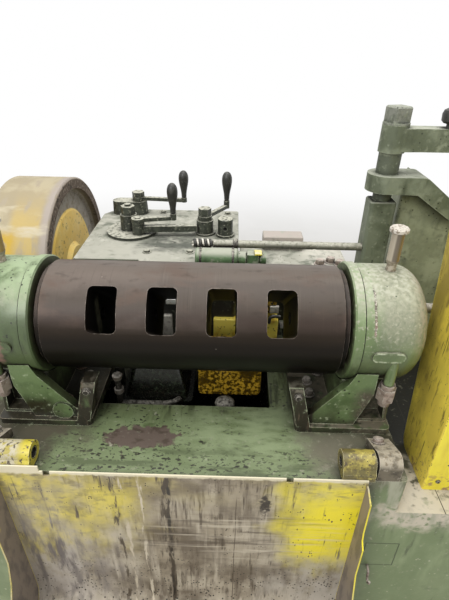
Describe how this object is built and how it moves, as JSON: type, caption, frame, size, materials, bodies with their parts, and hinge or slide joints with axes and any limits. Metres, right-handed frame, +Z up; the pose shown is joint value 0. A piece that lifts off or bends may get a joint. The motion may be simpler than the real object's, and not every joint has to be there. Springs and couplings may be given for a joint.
{
  "type": "wire straightening and cutting machine",
  "caption": "Floor-standing wire straightening machine: slotted spinning drum between bearing housings, hinged drum guard, feed levers, flywheel and guarded cut-off head.",
  "frame": {"origin": "on the floor, under the middle of the drum axis", "axes": "+X along the wire line to the right as the operator sees it, +Y away from the operator, +Z up"},
  "size_m": [1.632, 1.196, 1.433],
  "materials": {
    "green_paint": "worn machine green, oily and dusty",
    "housing_paint": "green paint under pale dust",
    "dusty_green_paint": "grey-green paint under thick dust",
    "yellow_paint": "scuffed safety yellow, dirty inside",
    "flywheel_paint": "dusty yellow over cast iron",
    "drum_steel": "dark oiled steel, turned",
    "bare_steel": "dusty bare steel",
    "grey_casting": "dark casting with dust",
    "oily_green_paint": "dark green under oil",
    "oily_yellow_paint": "yellow under brown oil",
    "black_plastic": "black moulded grip",
    "oil_cup_brass": "dull brass and amber glass"
  },
  "bodies": {
    "base": {"bed_frame": "green_paint", "left_pedestal": "green_paint", "right_pedestal": "green_paint", "left_bearing_housing": "housing_paint", "right_bearing_housing": "housing_paint", "left_oil_cup": "oil_cup_brass", "right_oil_cup": "oil_cup_brass", "left_drain_plug": "bare_steel", "right_drain_plug": "bare_steel", "left_oil_nipple": "bare_steel", "right_oil_nipple": "bare_steel", "pit_gearcase": "oily_green_paint", "pit_yellow_block": "oily_yellow_paint", "pit_button": "bare_steel", "left_hinge_bracket": "grey_casting", "right_hinge_bracket": "grey_casting", "feed_box": "dusty_green_paint", "feed_top_plate": "dusty_green_paint", "front_left_stud": "grey_casting", "front_right_stud": "grey_casting", "rear_stud_block": "grey_casting", "link_bar": "grey_casting", "clevis_post": "grey_casting", "air_cylinder": "green_paint", "guide_rod": "bare_steel", "rear_table": "dusty_green_paint", "column": "green_paint", "pivot_post": "green_paint", "lower_arm": "green_paint", "upper_arm": "green_paint", "head_casting": "green_paint", "cutoff_guard": "yellow_paint"},
    "drum": {"arbor_drum": "drum_steel"},
    "guard": {"guard_sheet": "yellow_paint", "left_guard_lug": "yellow_paint", "right_guard_lug": "yellow_paint"},
    "wheel": {"flywheel": "flywheel_paint", "flywheel_shaft": "bare_steel"},
    "front_lever_arm": {"front_lever": "bare_steel", "front_lever_grip": "black_plastic"},
    "rear_lever_arm": {"rear_lever": "bare_steel", "rear_lever_grip": "black_plastic"},
    "right_lever_arm": {"right_lever": "bare_steel", "right_lever_grip": "black_plastic"}
  },
  "joints": [
    {"name": "drum_spin", "type": "hinge", "parent": "base", "child": "drum", "pos_m": [0, 0, 1.02], "axis": [1, 0, 0], "continuous": true},
    {"name": "flywheel_spin", "type": "hinge", "parent": "base", "child": "wheel", "pos_m": [-0.486, 0.423, 0.929], "axis": [1, 0, 0], "continuous": true},
    {"name": "guard_hinge", "type": "hinge", "parent": "base", "child": "guard", "pos_m": [0, -0.228, 0.83], "axis": [-1, 0, 0], "range_deg": [0, 180]},
    {"name": "front_lever_turn", "type": "hinge", "parent": "base", "child": "front_lever_arm", "pos_m": [-0.197, 0.379, 1.1], "axis": [0, 0, 1], "range_deg": [-30, 25]},
    {"name": "rear_lever_turn", "type": "hinge", "parent": "base", "child": "rear_lever_arm", "pos_m": [-0.233, 0.578, 1.1], "axis": [0, 0, 1], "range_deg": [-20, 30]},
    {"name": "right_lever_turn", "type": "hinge", "parent": "base", "child": "right_lever_arm", "pos_m": [-0.005, 0.413, 1.1], "axis": [0, 0, 1], "range_deg": [-25, 20]}
  ]
}
